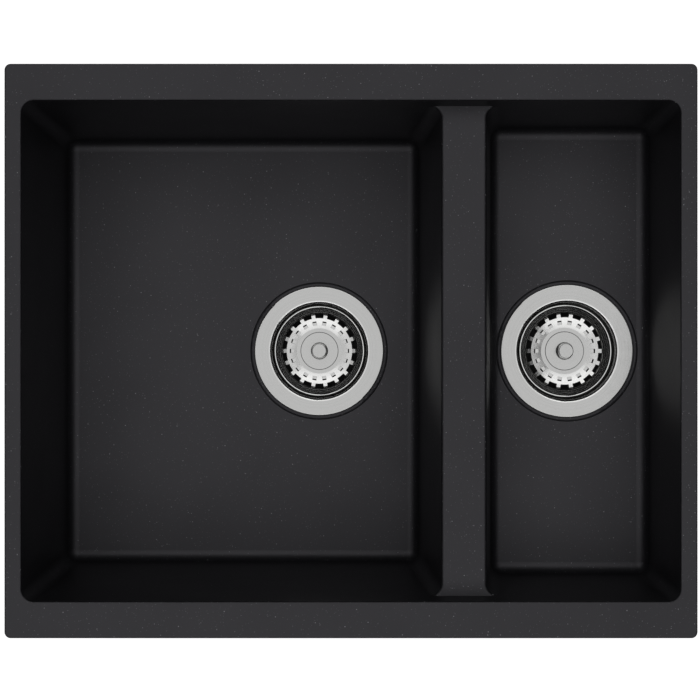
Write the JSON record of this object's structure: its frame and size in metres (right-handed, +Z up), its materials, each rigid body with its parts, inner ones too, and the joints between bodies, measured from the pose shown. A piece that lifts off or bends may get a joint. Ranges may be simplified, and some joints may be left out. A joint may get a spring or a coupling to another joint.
{
  "type": "one and a half bowl kitchen sink",
  "caption": "Dark composite-stone kitchen sink with a large bowl and a narrow bowl, a lowered divider, and a basket strainer waste with a lift-out basket and a pull-up plug in each",
  "frame": {"origin": "the centre of the rim's top face, in the plane of that face, midway between the outer edges in X and Y", "axes": "+X points from the large bowl to the small bowl, +Y to the back, +Z up out of the bowls"},
  "size_m": [0.555, 0.46, 0.282],
  "materials": {
    "composite_stone": "matte",
    "polished_steel": "polished",
    "turned_steel": "satin",
    "chrome_knob": "polished",
    "black_rubber": "matte",
    "soft_gasket": "matte",
    "moulded_plastic": "satin",
    "brass_insert": "satin"
  },
  "bodies": {
    "sink": {"sink_body": "composite_stone", "main_strainer_cup": "polished_steel", "main_flange_gasket": "soft_gasket", "main_lower_gasket": "black_rubber", "main_waste_body": "moulded_plastic", "main_outlet_tail": "moulded_plastic", "main_clamp_screw": "turned_steel", "main_clamp_insert": "brass_insert", "small_strainer_cup": "polished_steel", "small_flange_gasket": "soft_gasket", "small_lower_gasket": "black_rubber", "small_waste_body": "moulded_plastic", "small_outlet_tail": "moulded_plastic", "small_clamp_screw": "turned_steel", "small_clamp_insert": "brass_insert"},
    "main_basket": {"main_basket": "polished_steel", "main_stem_bush": "polished_steel", "main_bush_nut": "turned_steel", "main_catch_ring": "turned_steel"},
    "main_plug": {"main_plug_stem": "turned_steel", "main_knob": "chrome_knob", "main_plug_seal": "black_rubber", "main_seal_washer": "polished_steel", "main_seal_nut": "turned_steel"},
    "small_basket": {"small_basket": "polished_steel", "small_stem_bush": "polished_steel", "small_bush_nut": "turned_steel", "small_catch_ring": "turned_steel"},
    "small_plug": {"small_plug_stem": "turned_steel", "small_knob": "chrome_knob", "small_plug_seal": "black_rubber", "small_seal_washer": "polished_steel", "small_seal_nut": "turned_steel"}
  },
  "joints": [
    {"name": "main_basket_lift", "type": "slide", "parent": "sink", "child": "main_basket", "axis": [0, 0, 1], "range_m": [0, 0.245]},
    {"name": "main_plug_pull", "type": "slide", "parent": "main_basket", "child": "main_plug", "axis": [0, 0, 1], "range_m": [0, 0.006]},
    {"name": "small_basket_lift", "type": "slide", "parent": "sink", "child": "small_basket", "axis": [0, 0, 1], "range_m": [0, 0.185]},
    {"name": "small_plug_pull", "type": "slide", "parent": "small_basket", "child": "small_plug", "axis": [0, 0, 1], "range_m": [0, 0.006]}
  ]
}
